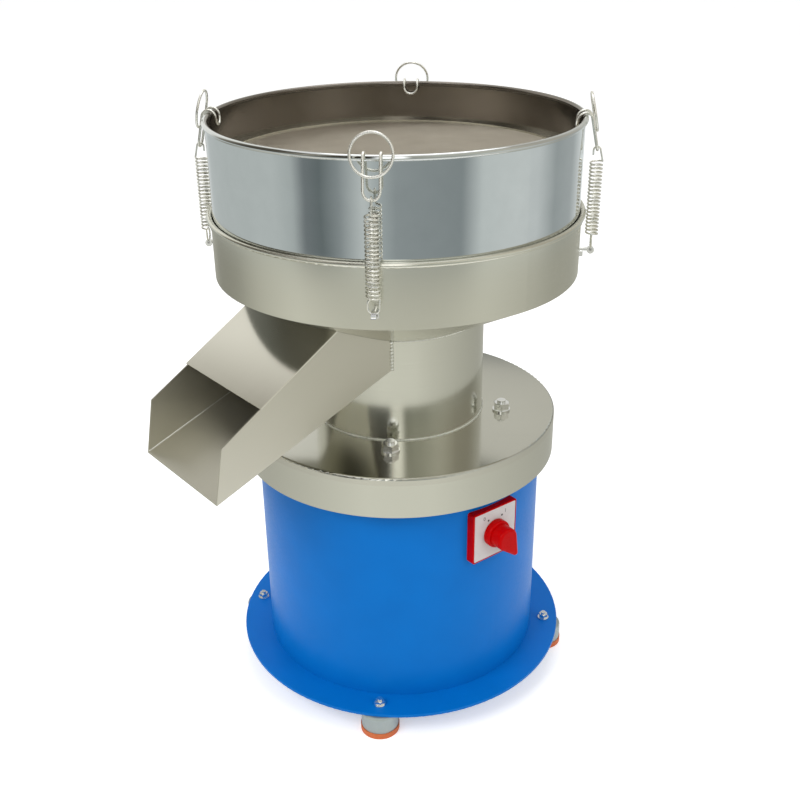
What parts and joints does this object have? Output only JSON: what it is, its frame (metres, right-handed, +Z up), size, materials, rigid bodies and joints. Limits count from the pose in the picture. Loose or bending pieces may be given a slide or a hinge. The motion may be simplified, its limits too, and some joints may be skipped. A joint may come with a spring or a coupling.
{
  "type": "vibrating sieve",
  "caption": "Upright vibrating sieve: blue drum base with a motor inside, sprung stainless deck with neck and side chute, and a round sieve held down by pull ring spring clips.",
  "frame": {"origin": "on the drum axis at floor level, under the rubber pads", "axes": "+Z up along the drum axis, -Y toward the discharge chute, +X toward the switch"},
  "size_m": [0.4148, 0.502, 0.7025],
  "materials": {
    "blue_paint": "gloss blue stove enamel",
    "satin_steel": "satin stainless sheet",
    "mirror_steel": "polished stainless sheet",
    "mesh_steel": "woven stainless wire",
    "wire_steel": "bright spring wire",
    "bright_zinc": "zinc plated fasteners",
    "orange_rubber": "matt orange rubber",
    "white_silicone": "soft silicone",
    "red_plastic": "glossy red moulding",
    "grey_label": "satin printed plate",
    "black_plastic": "matt black moulding",
    "black_rubber": "matt cable sheath",
    "cast_aluminium": "as cast",
    "dark_steel": "laminated and cast steel",
    "turned_steel": "turned steel"
  },
  "bodies": {
    "base": {"base_plate": "blue_paint", "drum_shell": "blue_paint", "spring_brackets": "blue_paint", "foot_pads": "orange_rubber", "foot_cups": "satin_steel", "foot_studs": "bright_zinc", "foot_washers": "bright_zinc", "foot_nuts": "bright_zinc", "lower_spring_seats": "bright_zinc", "support_springs": "wire_steel", "switch_bezel": "red_plastic", "switch_label": "grey_label", "switch_body": "black_plastic", "switch_screws": "bright_zinc", "cable_gland": "black_plastic", "supply_lead": "black_rubber", "motor_lead": "black_rubber"},
    "deck": {"cover": "satin_steel", "cover_washers": "bright_zinc", "cover_nuts": "bright_zinc", "upper_spring_seats": "bright_zinc", "neck_tube": "satin_steel", "slide_plate": "satin_steel", "chute_trough": "satin_steel", "chute_hood": "satin_steel", "pan_shell": "satin_steel", "pan_rim": "satin_steel", "sieve_ledge": "satin_steel", "sieve_gasket": "white_silicone", "sieve_frame": "mirror_steel", "mesh_rings": "satin_steel", "sieve_mesh": "mesh_steel", "clip_studs": "bright_zinc", "clip_nuts": "bright_zinc", "motor_flange": "cast_aluminium", "motor_housing": "cast_aluminium", "motor_end_cap": "cast_aluminium", "motor_bearings": "turned_steel", "motor_bolts": "bright_zinc", "stator": "dark_steel", "terminal_box": "black_plastic", "tension_spring_front_right": "wire_steel", "tension_spring_back_right": "wire_steel", "tension_spring_back_left": "wire_steel", "tension_spring_front_left": "wire_steel"},
    "rotor": {"motor_shaft": "turned_steel", "rotor_core": "dark_steel", "upper_weight": "dark_steel", "lower_weight": "dark_steel", "weight_screws": "bright_zinc"},
    "knob": {"switch_knob": "red_plastic"},
    "clip_front_right": {"clip_hook_front_right": "wire_steel", "pull_ring_front_right": "wire_steel"},
    "clip_back_right": {"clip_hook_back_right": "wire_steel", "pull_ring_back_right": "wire_steel"},
    "clip_back_left": {"clip_hook_back_left": "wire_steel", "pull_ring_back_left": "wire_steel"},
    "clip_front_left": {"clip_hook_front_left": "wire_steel", "pull_ring_front_left": "wire_steel"}
  },
  "joints": [
    {"name": "vibration", "type": "slide", "parent": "base", "child": "deck", "axis": [0, 0, 1], "range_m": [-0.003, 0.003], "stiffness_N_per_m": 12000, "springref_m": 0.01602, "deforming": ["support_springs", "motor_lead"]},
    {"name": "rotor_spin", "type": "hinge", "parent": "deck", "child": "rotor", "pos_m": [0, 0, 0.26], "axis": [0, 0, 1], "continuous": true},
    {"name": "switch_turn", "type": "hinge", "parent": "base", "child": "knob", "pos_m": [0.17987, -0.00691, 0.242], "axis": [-0.9993, 0.0384, 0], "range_deg": [0, 60]},
    {"name": "clip_pull_front_right", "type": "slide", "parent": "deck", "child": "clip_front_right", "axis": [0, 0, 1], "range_m": [0, 0.02], "stiffness_N_per_m": 1000, "springref_m": -0.03, "deforming": ["tension_spring_front_right"]},
    {"name": "clip_pull_back_right", "type": "slide", "parent": "deck", "child": "clip_back_right", "axis": [0, 0, 1], "range_m": [0, 0.02], "stiffness_N_per_m": 1000, "springref_m": -0.03, "deforming": ["tension_spring_back_right"]},
    {"name": "clip_pull_back_left", "type": "slide", "parent": "deck", "child": "clip_back_left", "axis": [0, 0, 1], "range_m": [0, 0.02], "stiffness_N_per_m": 1000, "springref_m": -0.03, "deforming": ["tension_spring_back_left"]},
    {"name": "clip_pull_front_left", "type": "slide", "parent": "deck", "child": "clip_front_left", "axis": [0, 0, 1], "range_m": [0, 0.02], "stiffness_N_per_m": 1000, "springref_m": -0.03, "deforming": ["tension_spring_front_left"]}
  ]
}
